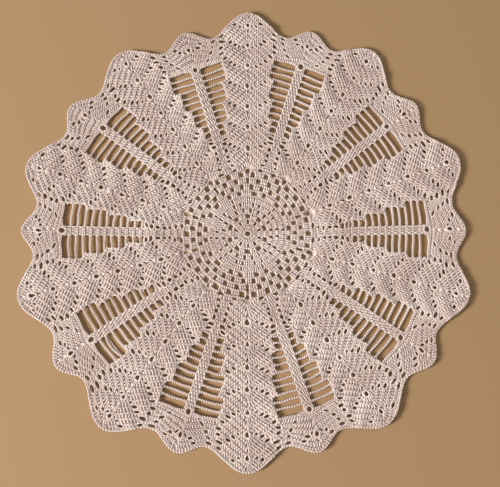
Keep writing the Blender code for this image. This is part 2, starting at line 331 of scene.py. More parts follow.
def placedGaps():
    # every gap as centre, unit direction of its length, half length, half width and squareness
    rows = []
    for ladderDeg, petalDeg in zip(ladderAxes, petalAxes):
        for axisDeg, gaps in ((ladderDeg, ladderGaps), (petalDeg, petalGaps)):
            for gap in gaps:
                centre = onAxis(axisDeg, gap.along, gap.across)
                if amongSlots(centre):
                    continue
                centre = centre + rng.normal(0.0, gapShape["place"], 2)
                turned = axisDeg + 90.0 + gap.turn + rng.normal(0.0, gapShape["turnDeg"])
                halfLength = gap.halfLength * (1.0 + rng.normal(0.0, gapShape["size"]))
                halfWidth = gap.halfWidth * (1.0 + rng.normal(0.0, gapShape["size"]))
                inNet = np.hypot(*centre) < wheel["netReach"]
                power = gapShape["netSquareness" if inNet else "squareness"]
                rows.append((*centre, *fromPolar(1.0, turned), halfLength, halfWidth, power))
    return np.array(rows)


allGaps = placedGaps()
# how yarn gives way to a gap: how many of its half sizes out that is felt, and how fast it fades
giveWay = {"within": 2.4, "margin": 0.5, "fade": 3.5}


def nearGap(gap, flat):
    reachOut = giveWay["within"] * (max(gap[4], gap[5]) + giveWay["margin"])
    return np.nonzero((abs(flat - gap[:2]) < reachOut).all(1))[0]


def inGapFrame(gap, places, grow):
    # places along and across a gap in its own half sizes, and how far out they lie
    x, y, ux, uy, halfLength, halfWidth, power = gap
    dx, dy = places[:, 0] - x, places[:, 1] - y
    long = (dx * ux + dy * uy) / (halfLength + grow)
    wide = (dy * ux - dx * uy) / (halfWidth + grow)
    return long, wide, (abs(long) ** power + abs(wide) ** power) ** (1 / power) + 1e-6


def fromGapFrame(gap, long, wide):
    # chart places given in mm along and across a gap
    x, y, ux, uy = gap[:4]
    return np.stack([x + long * ux - wide * uy, y + long * uy + wide * ux], -1)


def drawnRound(points, clear):
    # yarn near a gap lies round it: places inside move out to its edge, those outside give way
    points = points.copy()
    flat = points.reshape(-1, 2)
    fade = giveWay["fade"]
    for gap in allGaps:
        near = nearGap(gap, flat)
        if not len(near):
            continue
        long, wide, size = inGapFrame(gap, flat[near], clear)
        grown = (1.0 + size ** fade) ** (1 / fade) / size
        long, wide = long * grown * (gap[4] + clear), wide * grown * (gap[5] + clear)
        flat[near] = fromGapFrame(gap, long, wide)
    return flat.reshape(points.shape)


def gapShare(points):
    # how deep places lie in a gap: under 1 is inside
    least = np.full(len(points), np.inf)
    for gap in allGaps:
        near = nearGap(gap, points)
        if len(near):
            least[near] = np.minimum(least[near], inGapFrame(gap, points[near], 0.0)[2])
    return least


# soft folds between a petal's slanting lines of gaps
fold = {
    "height": 0.80, "from": 56.0, "fullAfter": 12.0, "halfWidth": 25.0, "sideFade": 3.0,
    "tip": 182.0, "tipFade": 6.0, "armEnd": (13.0, 26.0),
}
# slow unevenness of cloth that was washed and laid by hand: wave lengths in mm, and phases
rumple = {"height": 0.12, "lengths": (23.0, 31.0, 17.0), "phases": (1.3, 0.4, 2.1), "slanting": 0.6}
# from the table to the middle of the lowest yarn, mm
yarnStandsAt = 0.27


def foldAt(places):
    # height of a petal's folds, from 0 to 1
    along, across = besidePetal(places)
    wide = abs(across)
    armAlong = [0.0] + [gap.along for gap in armGaps] + [fold["armEnd"][0]]
    armAcross = [0.0] + [gap.across for gap in armGaps] + [fold["armEnd"][1]]
    phase = along - np.interp(wide, armAcross, armAlong) - petal["secondPinhole"]
    wave = np.sin(np.pi * phase / (petal["rowsAPinhole"] * petal["rowPitch"])) ** 2
    inPetal = np.clip((along - fold["from"]) / fold["fullAfter"], 0, 1)
    inSide = np.clip((fold["halfWidth"] - wide) / fold["sideFade"], 0, 1)
    return wave * inPetal * inSide * np.clip((fold["tip"] - along) / fold["tipFade"], 0, 1)


def unevenAt(places):
    x, y = places[..., 0], places[..., 1]
    waves = [place / length + phase for place, length, phase in
             zip((x, y, x + y), rumple["lengths"], rumple["phases"])]
    slow = np.sin(waves[0]) * np.cos(waves[1]) + rumple["slanting"] * np.sin(waves[2])
    return rumple["height"] * slow


def heightAt(places):
    # how far the middle of the lowest yarn stands above the table
    return fold["height"] * foldAt(places) + unevenAt(places) + yarnStandsAt


# the border: where the arches over the ladders end, and the rounds from there to the rim
border = {
    "archTop": 151.6, "archTopFall": 3.0, "archFallAcross": 14.0, "archDepth": 2.2,
    "junctionAcross": 24.6,
    # the small scallops' rounds, as shares of the way to the rim
    "shares": (-0.035, 0.165, 0.35, 0.535, 0.72, 0.88),
    "midReach": 168.0, "halfAcross": 33.0, "posts": 15, "postPitch": 2.05, "lean": 0.5,
    # the rim
    "yarnInset": 0.55, "rimCord": 3.0, "rimFootBelow": 0.4, "rimTopInset": 1.0,
    "rimPitch": 2.3, "rimSamples": 2400, "headingSamples": 4,
}


def archTopAt(across):
    fall = border["archTopFall"] * (1 - np.exp(-(across / border["archFallAcross"]) ** 2))
    return border["archTop"] - fall


def insideRim(laidPlaces):
    # yarn that would stick out over the rim is drawn in
    reach, bearing = polar(laidPlaces)
    most = easeBetween(rimReaches, bearing) - border["yarnInset"]
    return laidPlaces * np.minimum(1.0, most / np.maximum(reach, 1.0))[..., None]


def rimAt(bearing):
    # the rim's reach by even bearing, brought back to the chart
    laidBearing = bearing + easeBetween(shifts, bearing)
    return easeBetween(rimReaches, laidBearing) / easeBetween(stretches, bearing)


# yarn as a four-sided tube, smooth shaded, with its length and turn in a UV map for the plies
strand = {"sides": 4, "taper": 0.5, "clear": 0.75, "threadStart": 10.0}
meshParts = {}
worked = {"stitches": 0, "links": 0}


def unit(vectors):
    return vectors / (np.linalg.norm(vectors, axis=-1, keepdims=True) + 1e-9)


def addStrands(pieceName, points, radius, taper=strand["taper"]):
    # tubes along rows of chart points (count, steps, 3), kept until the piece is made
    if not len(points):
        return
    count, steps = points.shape[:2]
    sides = strand["sides"]
    flat = drawnRound(points[..., :2], strand["clear"] * float(np.max(radius)))
    laidPlaces = insideRim(lay(flat))
    height = points[..., 2] + heightAt(flat) + liftAt(laidPlaces)
    path = np.concatenate([laidPlaces - middle, height[..., None]], -1)
    ahead = unit(np.gradient(path, axis=1))
    sideways = unit(np.cross(ahead, (0.0, 0.0, 1.0)))
    upward = np.cross(sideways, ahead)
    radii = np.broadcast_to(np.asarray(radius, float), (count, steps)).copy()
    radii[:, 0] *= taper
    radii[:, -1] *= taper
    angles = (2 * np.pi * np.arange(sides) / sides + np.pi / 2)[:, None]
    ring = sideways[:, :, None] * np.cos(angles) + upward[:, :, None] * np.sin(angles)
    vertices = path[:, :, None] + ring * radii[:, :, None, None]

    number = np.arange(count * steps * sides).reshape(count, steps, sides)
    nextSide = np.roll(number, -1, axis=2)
    corners = [number[:, :-1], number[:, 1:], nextSide[:, 1:], nextSide[:, :-1]]
    faces = np.stack(corners, -1).reshape(-1, 4)

    length = np.zeros((count, steps))
    length[:, 1:] = np.cumsum(np.linalg.norm(np.diff(path, axis=1), axis=-1), axis=1)
    length += rng.random((count, 1)) * strand["threadStart"]
    turns = np.arange(sides) / sides
    here = np.stack(np.broadcast_arrays(length[:, :-1, None], turns), -1)
    there = np.stack(np.broadcast_arrays(length[:, 1:, None], turns), -1)
    thread = np.stack([here, there, there + (0, 1 / sides), here + (0, 1 / sides)], -2)
    part = (vertices.reshape(-1, 3), faces, thread.reshape(-1, 2))
    meshParts.setdefault(pieceName, []).append(part)


# one tall stitch: the post, the slanting wrap over it, and the front and back yarns of the chain
# that caps it. Each path is across in stitch widths, up in stitch heights, and height in mm
tallStitch = {
    "post": ((0.0, 0.0, 0.45), (-0.03, 0.22, 1.05), (0.03, 0.62, 1.18), (0.0, 0.96, 0.55)),
    "postRadius": 0.85,
    "wrap": ((-0.38, 0.30, 1.10), (0.02, 0.50, 1.98), (0.40, 0.68, 1.15)),
    "wrapRadius": 0.36,
    "front": ((0.0, 1.00, 1.25), (0.44, 0.85, 1.98), (0.96, 0.90, 1.40)),
    "back": ((0.04, 1.09, 1.20), (0.56, 1.13, 1.88), (1.00, 0.99, 1.35)),
    "topRadius": 0.58, "slack": 0.07, "jitter": 0.10, "topJitter": 0.07, "unevenLean": 0.16,
    "leanFoot": 0.46, "postClear": 0.75, "topClear": 0.8,
    "postSamples": (0.15, 0.3, 0.45, 0.6, 0.75, 0.9),
    "topSamples": (0.25, 0.75),
}


def carried(path, base, acrossBy, upBy, flare, lift):
    # a path of the stitch carried onto every base, its sides opening upwards by the flare
    a, b, height = np.array(path).T
    a = a * (1.0 + flare * b)
    places = base[:, None] + a[:, None] * acrossBy[:, None] + b[:, None] * upBy[:, None]
    height = np.broadcast_to(height + lift, places.shape[:2])
    return np.concatenate([places, height[..., None]], -1)


def addPosts(pieceName, base, acrossBy, upBy, flare=0.0, clear=tallStitch["postClear"],
             lift=0.0, thick=1.0):
    # posts with their wraps, left out where they would cross a gap
    samples = [gapShare(base + upBy * share) for share in tallStitch["postSamples"]]
    whole = np.min(samples, axis=0) > clear
    base = base + rng.normal(0.0, tallStitch["jitter"], base.shape)
    slack = 1.0 + rng.normal(0.0, tallStitch["slack"], (len(base), 1))
    upBy = upBy + rng.normal(0.0, tallStitch["unevenLean"], base.shape)
    for name in ("post", "wrap"):
        points = carried(tallStitch[name], base[whole], acrossBy[whole], upBy[whole], flare, lift)
        addStrands(pieceName, points, tallStitch[name + "Radius"] * thick * slack[whole])
    worked["stitches"] += int(whole.sum())


def addTops(pieceName, base, acrossBy, upBy, flare=0.0, band=1.0, lift=0.0):
    # front and back yarns of the chain along the top of a round
    samples = [gapShare(base + upBy + acrossBy * share) for share in tallStitch["topSamples"]]
    whole = np.min(samples, axis=0) > tallStitch["topClear"]
    base = base + rng.normal(0.0, tallStitch["topJitter"], base.shape)
    slack = 1.0 + rng.normal(0.0, tallStitch["slack"], (len(base), 1))
    for name in ("front", "back"):
        path = [(a, 1.0 + (b - 1.0) * band, height) for a, b, height in tallStitch[name]]
        points = carried(path, base[whole], acrossBy[whole], upBy[whole], flare, lift)
        addStrands(pieceName, points, tallStitch["topRadius"] * slack[whole])


def addTallStitches(pieceName, base, acrossBy, upBy, lean=0.0, lift=0.0):
    # whole stitches, their posts leaning along the round by a share of its pitch
    addTops(pieceName, base, acrossBy, upBy, lift=lift)
    leanBy = acrossBy * np.broadcast_to(lean, len(base))[:, None]
    foot = base - leanBy * tallStitch["leanFoot"]
    addPosts(pieceName, foot, acrossBy, upBy + leanBy, lift=lift)


# one link of chain: two yarns, one on each side, that swell from a narrow low tail to a full head
# over the next tail. The path is ahead in links, aside in widths, and height in mm
chainLink = {
    "leg": ((-0.08, 0.10, 0.55), (0.30, 0.37, 1.30), (0.72, 0.38, 1.55), (1.10, 0.12, 0.95)),
    "radius": 0.55, "thinner": 0.1, "pitch": 1.85, "width": 1.45, "headingOver": 0.4,
}


def addChain(pieceName, route, width=1.0, pitch=chainLink["pitch"], closed=False):
    # links along a route of chart places with heights, evenly spaced
    if closed:
        route = np.concatenate([route, route[:1]])
    steps = np.linalg.norm(np.diff(route[:, :2], axis=0), axis=1)
    run = np.concatenate([[0.0], np.cumsum(steps)])
    links = max(2, round(run[-1] / pitch))
    start = np.linspace(0.0, run[-1], links + 1)[:-1]
    leg = np.array(chainLink["leg"])
    where = start[:, None] + leg[None, :, 0] * (run[-1] / links)
    where = where % run[-1] if closed else np.clip(where, 0.0, run[-1])

    def routeAt(where):
        return np.stack([np.interp(where, run, values) for values in route.T])

    x, y, z = routeAt(where)
    over = chainLink["headingOver"]
    dx, dy, _ = routeAt(where + over) - routeAt(where - over)
    size = np.hypot(dx, dy) + 1e-9
    radius = chainLink["radius"] * min(1.0, width + chainLink["thinner"])
    for side in (1, -1):
        aside = side * leg[None, :, 1] * chainLink["width"] * width
        points = np.stack([x - dy / size * aside, y + dx / size * aside, z + leg[None, :, 2]], -1)
        addStrands(pieceName, points, radius)
    worked["links"] += links


def postsOut(count, pitch):
    # side, foot and head of a middle post and of those beside it, which each lean out by one place
    innermost = 0.2
    for side in (-1, 1):
        if side > 0:
            yield side, 0.0, 0.0
        for post in range(count):
            yield side, max(innermost, post) * pitch, (post + 1) * pitch


def addHeld(pieceName, stitches, holds):
    # those of the stitches, given as base, across, up and lean, that lie where they should
    bases, acrosses, ups, leans = (np.array(column) for column in zip(*stitches))
    held = holds(bases, ups)
    addTallStitches(pieceName, bases[held], acrosses[held], ups[held], leans[held])


def petalPiece(turn):
    # two petals make one piece
    return "petals" + "ABCDE"[turn // 2]


def petalHolds(bases, ups):
    # clear of the net, of the ladders, of the next small scallop and of the rim
    centre = bases + ups * 0.5
    along, across = besideLadder(centre)
    reach = np.hypot(along, across)
    clearOfNet = reach > wheel["roundsFrom"][-1]
    clear = np.where(along < petal["footClearTo"], 0.0, petal["ladderClear"])
    belowArch = reach < border["archTop"] - border["archDepth"]
    inLadder = belowArch & (abs(across) < farAt(along) + clear)
    laidReach, laidBearing = polar(lay(centre))
    rimFoot = easeBetween(rimReaches, laidBearing) - border["rimCord"] + petal["rimOverlap"]
    inPetal = abs(besidePetal(centre)[1]) < border["junctionAcross"]
    return clearOfNet & ~inLadder & (laidReach < rimFoot) & inPetal


def petalStitches():
    # the V rounds of every petal, from the net to the tip
    pitch = petal["postPitch"]
    for turn, axisDeg in enumerate(petalAxes):
        stitches = []
        for row in range(petal["rows"]):
            low = (petalRowAt(row) + petalRowAt(row - 1)) / 2
            high = (petalRowAt(row) + petalRowAt(row + 1)) / 2
            for side, foot, head in postsOut(petal["posts"], pitch):
                start = onAxis(axisDeg, low - veeAt(foot), side * foot)
                end = onAxis(axisDeg, high - veeAt(head), side * head)
                # the fall over a post's width, from that over the millimetre round its foot
                fall = (veeAt(foot + 0.5) - veeAt(max(0.0, foot - 0.5))) * pitch
                # stitches lean the way that the work goes, in every second round further
                lean = petal["lean"][side > 0] + petal["turnLean"] * (-1) ** row
                lean *= min(1.0, foot / petal["leanFullAt"])
                stitches.append((start, onAxis(axisDeg, -fall, side * pitch), end - start, lean))
        addHeld(petalPiece(turn), stitches, petalHolds)


def scallopHolds(bases, ups):
    # between one petal and the next
    centre = bases + ups * 0.5
    pastPetal = abs(besidePetal(centre)[1]) >= border["junctionAcross"]
    return pastPetal & (abs(besideLadder(centre)[1]) < border["halfAcross"])


def scallopStitches():
    # the rounds of the small scallops between the ladders' arches and the rim
    pitch = border["postPitch"]
    for axisDeg in ladderAxes:

        def edgeAt(share, across):
            # where a round's edge lies at a distance across
            bottom = archTopAt(across)
            top = rimAt(axisDeg + np.degrees(np.arctan2(across, border["midReach"])))
            topAlong = np.sqrt(np.maximum(top ** 2 - across ** 2, 1.0))
            return onAxis(axisDeg, bottom + share * (topAlong - bottom), across)

        stitches = []
        for low, high in zip(border["shares"], border["shares"][1:]):
            for side, foot, head in postsOut(border["posts"], pitch):
                foot, head = side * foot, side * head
                start = edgeAt(low, foot)
                beside = edgeAt(low, foot + 0.5) - edgeAt(low, foot - 0.5)
                lean = border["lean"] * min(1.0, abs(foot) / petal["leanFullAt"])
                stitches.append((start, side * beside * pitch, edgeAt(high, head) - start, lean))
        addHeld("scallops", stitches, scallopHolds)


def roundBearings(low, high):
    # bearings of a round's posts: evenly spaced in each stretch between two of its gaps
    centre = (low + high) / 2
    reach, bearing = polar(allGaps[:, :2])
    inRound = (reach > low) & (reach < high)
    if not inRound.any():
        posts = round(2 * np.pi * centre / wheel["postPitch"])
        return np.linspace(0.0, 360.0, posts, endpoint=False)
    order = np.argsort(bearing[inRound])
    gapDeg = bearing[inRound][order]
    halfDeg = np.degrees(allGaps[inRound, 4][order] / reach[inRound][order])
    bearings = []
    for start, end in zip(gapDeg + halfDeg, np.roll(gapDeg - halfDeg, -1)):
        span = (end - start) % 360.0
        posts = max(1, round(np.radians(span) * centre / wheel["postPitch"]))
        bearings += [start + span * (post + 0.5) / posts for post in range(posts)]
    return np.array(bearings)


def wheelStitches():
    # rounds of the wheel and the net: posts between the gaps, and the chain over them
    for low, high in zip(wheel["roundsFrom"], wheel["roundsFrom"][1:]):

        def fanned(bearings):
            # base, across, up and flare of stitches at these bearings
            ahead, aside = fromPolar(1.0, bearings), fromPolar(1.0, bearings + 90.0)
            width = wheel["topPitch"] * low / high
            return ahead * low, aside * width, ahead * (high - low), high / low - 1.0

        addPosts("wheel", *fanned(roundBearings(low, high)), wheel["postClear"],
                 wheel["postLift"], wheel["postThick"])
        tops = round(2 * np.pi * high / wheel["topPitch"])
        # the chains of the inner rounds sink between the posts
        sunk = wheel["topSink"] * float(high < wheel["sunkWithin"])
        addTops("wheel", *fanned(np.linspace(0.0, 360.0, tops, endpoint=False)),
                wheel["topBand"], -sunk)


def firstRing():
    # the ring that the doily is begun from
    angle = np.linspace(0.0, 360.0, wheel["ringSteps"], endpoint=False)
    height = np.full((wheel["ringSteps"], 1), wheel["ringHeight"])
    route = np.concatenate([fromPolar(1.0, angle) * wheel["ring"], height], 1)
    addChain("wheel", route, wheel["ringWidth"], wheel["ringPitch"], closed=True)


def ribStitches():
    # three posts a round up the middle of each ladder, from the net to the arch
    edges = [ladder["ribTop"]]
    edges += [slotAlong(row + 0.5, 0) for row in range(ladder["ribRounds"])]
    gap = ladder["ribPostGap"]
    for axisDeg in ladderAxes:
        bases, ups = [], []
        for high, low in zip(edges, edges[1:]):
            for across in (-gap, 0.0, gap):
                bases.append(onAxis(axisDeg, low, across))
                ups.append(onAxis(axisDeg, high, across) - bases[-1])
        acrosses = np.tile(onAxis(axisDeg, 0.0, gap), (len(bases), 1))
        addTallStitches("ladders", np.array(bases), acrosses, np.array(ups),
                        ladder["ribLean"], ladder["ribLift"])


def ladderChains():
    # the chains of each ladder, each bent a little towards the first ring at its outer end
    share = np.linspace(0.0, 1.0, ladder["chainSteps"])
    height = ladder["chainHeight"] + ladder["chainRise"] * (1 - share)
    near = ladder["ribHalfWidth"] - ladder["intoRib"]
    for turn, axisDeg in enumerate(ladderAxes):
        for side in (-1, 1):
            for chain in range(ladder["slotRows"] - 1):
                far = slotFar(chain) + ladder["intoPetal"]
                along = slotAlong(chain + 0.5, side) - ladder["sag"] * share ** 2
                along = along + rng.normal(0.0, ladder["uneven"])
                # none hangs quite straight
                wave = rng.uniform(*ladder["wanderTurns"]) * share
                wave += rng.uniform(*ladder["wanderFrom"])
                along = along + ladder["wander"] * np.sin(wave)
                if (turn, side, chain) == ladder["slipped"]:
                    bow = np.sin(np.pi * np.clip(share * ladder["slipEnds"], 0, 1))
                    along = along + ladder["slip"] * bow ** ladder["slipPower"]
                across = side * (near + (far - near) * share)
                route = routeOn(axisDeg, along, across, height)
                addChain("ladders", route, ladder["chainWidth"])


def slotEnds():
    # the yarn that turns round both ends of every slot
    bend = np.linspace(-1.0, 1.0, ladder["endSteps"])
    height = ladder["endHeight"] - ladder["endDrop"] * bend ** 2
    bulge = ladder["endReach"] - ladder["endDepth"] * bend ** 2
    for axisDeg in ladderAxes:
        for side in (-1, 1):
            paths = []
            for row in range(ladder["slotRows"]):
                along = slotAlong(row, side) + bend * ladder["endHalf"]
                atRib = (along, ladder["ribHalfWidth"] - bulge)
                atPetal = (along - ladder["sag"], slotFar(row) + bulge)
                paths += [routeOn(axisDeg, along, side * across, height)
                          for along, across in (atRib, atPetal)]
            addStrands("ladders", np.array(paths), ladder["endRadius"])


# cords of chain on every ladder: one over its last slots, one near the rib that dips round the
# tip hole, and one upright along each side of a petal, where the ladder's chains join it
archCord = {"half": 25.5, "steps": 41, "below": 1.7, "height": 0.3, "width": 1.0, "pitch": 1.85}
tipCord = {
    "half": 9.5, "steps": 31, "along": 147.8, "slope": 0.12, "dip": 3.0, "dipHalf": 3.6,
    "height": 0.4, "width": 0.9, "pitch": 1.85,
}
edgeCord = {
    "from": 84.0, "to": 147.0, "steps": 64, "ahead": 0.6, "smoothOver": 7, "outside": 1.1,
    "height": 0.0, "width": 0.75, "pitch": 2.6,
}


def addCords(cords):
    # cords, given as along, across and settings, on every ladder
    for axisDeg in ladderAxes:
        for along, across, cord in cords:
            route = routeOn(axisDeg, along, across, cord["height"])
            addChain("ladders", route, cord["width"], cord["pitch"])


def archCords():
    across = np.linspace(-archCord["half"], archCord["half"], archCord["steps"])
    arch = (archTopAt(across) - archCord["below"], across, archCord)
    across = np.linspace(-tipCord["half"], tipCord["half"], tipCord["steps"])
    beside = np.maximum(0.0, abs(across) - ladder["ribHalfWidth"])
    dip = tipCord["dip"] * np.clip(1.0 - (across / tipCord["dipHalf"]) ** 2, 0.0, 1.0)
    addCords([arch, (tipCord["along"] + tipCord["slope"] * beside - dip, across, tipCord)])


def petalEdges():
    along = np.linspace(edgeCord["from"], edgeCord["to"], edgeCord["steps"])
    over = edgeCord["smoothOver"]
    far = np.pad(farAt(along + edgeCord["ahead"]), over // 2, mode="edge")
    far = np.convolve(far, np.ones(over) / over, mode="valid") + edgeCord["outside"]
    addCords([(along, -far, edgeCord), (along, far, edgeCord)])


def rimStitches():
    # the last round: short stitches whose chain tops make the very edge
    bearings = np.linspace(0.0, 360.0, border["rimSamples"], endpoint=False)
    reaches = easeBetween(rimReaches, bearings)
    inner = unlay(fromPolar(reaches - border["rimCord"] - border["rimFootBelow"], bearings))
    outer = unlay(fromPolar(reaches - border["rimTopInset"], bearings))
    steps = np.linalg.norm(np.diff(outer, axis=0, append=outer[:1]), axis=1)
    run = np.concatenate([[0.0], np.cumsum(steps)])
    stitches = round(run[-1] / border["rimPitch"])
    start = np.linspace(0.0, run[-1], stitches, endpoint=False)
    index = np.searchsorted(run, start, side="right") - 1
    apart = border["headingSamples"]
    ahead = (np.roll(outer, -apart, axis=0) - np.roll(outer, apart, axis=0))[index]
    acrossBy = unit(ahead) * border["rimPitch"]
    addTallStitches("rim", inner[index], acrossBy, (outer - inner)[index])


# the yarns that lie round a gap, as how far outside its edge, how high and how thick:
# two round a narrow gap and one round a wide one, and a thick pair as a hood on an axis
eye = {
    "yarns": ((0.42, 1.45, 0.46), (1.25, 1.20, 0.46)),
    "hood": ((0.48, 1.75, 0.54), (1.38, 1.60, 0.54)),
    "onAxisWithin": 0.5, "narrow": 1.4, "leastHalf": 0.6, "waver": 0.12, "steps": 11,
}


def gapEyes():
    # outside the net, where the gaps are worked round
    angle = np.linspace(0.0, 2 * np.pi, eye["steps"])
    eyes = {}
    for index, gap in enumerate(allGaps):
        halfLength, halfWidth = gap[4:6]
        reach, bearing = polar(gap[:2])
        if halfLength < eye["leastHalf"] or reach < wheel["netReach"]:
            continue
        across, petalAcross = abs(besideLadder(gap[:2])[1]), abs(besidePetal(gap[:2])[1])
        turn = int(bearing % 360.0 // chart["repeatDeg"])
        pieceName = petalPiece(turn) if petalAcross < border["junctionAcross"] else "scallops"
        yarns = eye["yarns"][:2 if halfWidth < eye["narrow"] else 1]
        if min(across, petalAcross) < eye["onAxisWithin"]:
            yarns = eye["hood"]
        for offset, height, radius in yarns:
            long = (halfLength + offset) * np.cos(angle)
            wide = (halfWidth + offset) * np.sin(angle)
            high = height + eye["waver"] * np.sin(3 * angle + index)
            path = np.concatenate([fromGapFrame(gap, long, wide), high[:, None]], 1)
            eyes.setdefault((pieceName, radius), []).append(path)
    for (pieceName, radius), paths in eyes.items():
        addStrands(pieceName, np.array(paths), radius, taper=1.0)


def linear(hexColour):
    # sRGB hex to linear
    value = hexColour.lstrip("#")
    channels = [int(value[at:at + 2], 16) / 255 for at in (0, 2, 4)]
    return [c / 12.92 if c <= 0.04045 else ((c + 0.055) / 1.055) ** 2.4 for c in channels] + [1.0]


def addNode(tree, kind, settings=None, values=None, links=None):
    # one node with its settings, its socket values and what feeds it
    node = tree.nodes.new(kind)
    for name, value in (settings or {}).items():
        setattr(node, name, value)
    for name, value in (values or {}).items():
        node.inputs[name].default_value = value
    for name, source in (links or {}).items():
        tree.links.new(source, node.inputs[name])
    return node


def newMaterial(materialName, values):
    # a material with its shader's constant values set on the shader's own sockets
    material = bpy.data.materials.new(materialName)
    material.use_nodes = True
    shader = material.node_tree.nodes["Principled BSDF"]
    for name, value in values.items():
        shader.inputs[name].default_value = value
    return material, material.node_tree, shader


def cottonMaterial(materialName, look):
    # patches of two shades, and a bump from the same patches until other heights are linked to it
    material, tree, shader = newMaterial(materialName, look["shader"])
    place = addNode(tree, "ShaderNodeTexCoord").outputs["Object"]
    patches = addNode(tree, "ShaderNodeTexNoise", links={"Vector": place},
                      values={"Scale": 1 / (look["patchMm"] * mm), "Detail": 3.0})
    shade = addNode(tree, "ShaderNodeValToRGB", links={"Fac": patches.outputs["Fac"]})
    for stop, at, colour in zip(shade.color_ramp.elements, look["ramp"], look["colours"]):
        stop.position = at
        stop.color = linear(colour)
    bump = addNode(tree, "ShaderNodeBump", links={"Height": patches.outputs["Fac"]},
                   values={"Strength": look["bump"], "Distance": look["bumpMm"] * mm})
    tree.links.new(shade.outputs["Color"], shader.inputs["Base Color"])
    tree.links.new(bump.outputs["Normal"], shader.inputs["Normal"])
    return material, tree, place, bump


def paintedShadeCotton():
    # cotton deep between the posts, where plies cross: its darker colour is painted shade, and it
    # is quite matt
    look = {
        "shader": {"Roughness": 0.95},
        "colours": ("#CBB2A5", "#DCC7BB"),
        "ramp": (0.0, 1.0),
        "patchMm": 1.11,  # one yarn's width
        "bump": 0.6,
        "bumpMm": 0.3,
    }
    return cottonMaterial("paintedShadeCotton", look)[0]


def mercerisedCotton():
    # twisted crochet cotton, mercerised: matt with a faint silky sheen and an uneven ecru dye, and
    # its plies catch the light. Its fuzz is finer than the render can show and is drawn coarser
    look = {
        "shader": {"Roughness": 0.72, "Sheen Weight": 0.12, "Sheen Roughness": 0.5},
        "colours": ("#DBC3B7", "#EBD9CE"),
        "ramp": (0.35, 0.65),
        "patchMm": 35.7,  # how far apart the dye is lighter
        "bump": 0.55,
        "bumpMm": 0.12,
        "plyTurnMm": 1.3,  # yarn to one turn of its plies
        "plies": 3,
        "plyShare": 0.7,
        "fuzzMm": 0.385,
    }
    material, tree, place, bump = cottonMaterial("mercerisedCotton", look)
    thread = addNode(tree, "ShaderNodeUVMap", settings={"uv_map": "thread"})
    split = addNode(tree, "ShaderNodeSeparateXYZ", links={"Vector": thread.outputs["UV"]})
    turns = addNode(tree, "ShaderNodeMath", settings={"operation": "DIVIDE"},
                    values={1: look["plyTurnMm"]}, links={0: split.outputs["X"]})
    slant = addNode(tree, "ShaderNodeMath", settings={"operation": "SUBTRACT"},
                    links={0: turns.outputs[0], 1: split.outputs["Y"]})
    phase = addNode(tree, "ShaderNodeMath", settings={"operation": "MULTIPLY"},
                    values={1: np.pi * look["plies"]}, links={0: slant.outputs[0]})
    ply = addNode(tree, "ShaderNodeMath", settings={"operation": "SINE"},
                  links={0: phase.outputs[0]})
    fuzz = addNode(tree, "ShaderNodeTexNoise", links={"Vector": place},
                   values={"Scale": 1 / (look["fuzzMm"] * mm), "Detail": 2.0})
    both = addNode(tree, "ShaderNodeMath", settings={"operation": "MULTIPLY_ADD"},
                   values={1: look["plyShare"]}, links={0: ply.outputs[0], 2: fuzz.outputs["Fac"]})
    tree.links.new(both.outputs[0], bump.inputs["Height"])
    return material


def addObject(objectName, data):
    made = bpy.data.objects.new(objectName, data)
    bpy.context.scene.collection.objects.link(made)
    return made


def makePiece(pieceName, material):
    # join a piece's strands into one mesh
    vertices, faces, corners = zip(*meshParts[pieceName])
    starts = np.cumsum([0] + [len(part) for part in vertices[:-1]])
    faces = np.concatenate([part + start for part, start in zip(faces, starts)])
    vertices = np.concatenate(vertices) * mm
    mesh = bpy.data.meshes.new(pieceName)
    mesh.vertices.add(len(vertices))
    mesh.vertices.foreach_set("co", vertices.astype(np.float32).ravel())
    mesh.loops.add(faces.size)
    mesh.loops.foreach_set("vertex_index", faces.astype(np.int32).ravel())
    mesh.polygons.add(len(faces))
    mesh.polygons.foreach_set("loop_start", np.arange(0, faces.size, 4, dtype=np.int32))
    mesh.polygons.foreach_set("use_smooth", np.ones(len(faces), bool))
    thread = mesh.uv_layers.new(name="thread")
    thread.data.foreach_set("uv", np.concatenate(corners).astype(np.float32).ravel())
    mesh.update(calc_edges=True)
    mesh.validate()
    mesh.materials.append(material)
    print(pieceName, "has", 2 * len(faces), "triangles")
    return addObject(pieceName, mesh)


# the ground: crossed plies low between the stitches, coloured darker as painted shade, one thin
# sheet with every gap cut through it
ground = {
    "height": 0.88, "foldShare": 0.8, "wheelDrop": 0.35, "rimInset": 1.6, "slotGrow": 0.55,
    "gapGrow": 0.1, "gapCorners": 8, "grid": 6.0, "gridHalf": 190.0, "gridInset": 2.0,
    "gridClear": 1.7, "weld": 1e-4,
}


def slotLoop(axisDeg, side, row):
    # the corners of a slot, bent as its chains are; the outermost slots end under the arch
    near = ladder["ribHalfWidth"]
    half = ladder["slotHeight"] / 2 + ground["slotGrow"]
    share = np.array((0.0, 0.5, 1.0))
    across = near + (slotFar(row) - near) * share
    inner = slotAlong(row, side) - half - ladder["sag"] * share ** 2
    outer = slotAlong(row, side) + half - ladder["sag"] * share ** 2
    if row == 0:
        outer = np.minimum(archTopAt(across) - border["archDepth"],
                           ladder["tipEdge"] + ladder["tipEdgeRise"] * share)
    loop = onAxis(axisDeg, np.concatenate([inner, outer[::-1]]),
                  side * np.concatenate([across, across[::-1]]))
    return loop[::-1] if side > 0 else loop


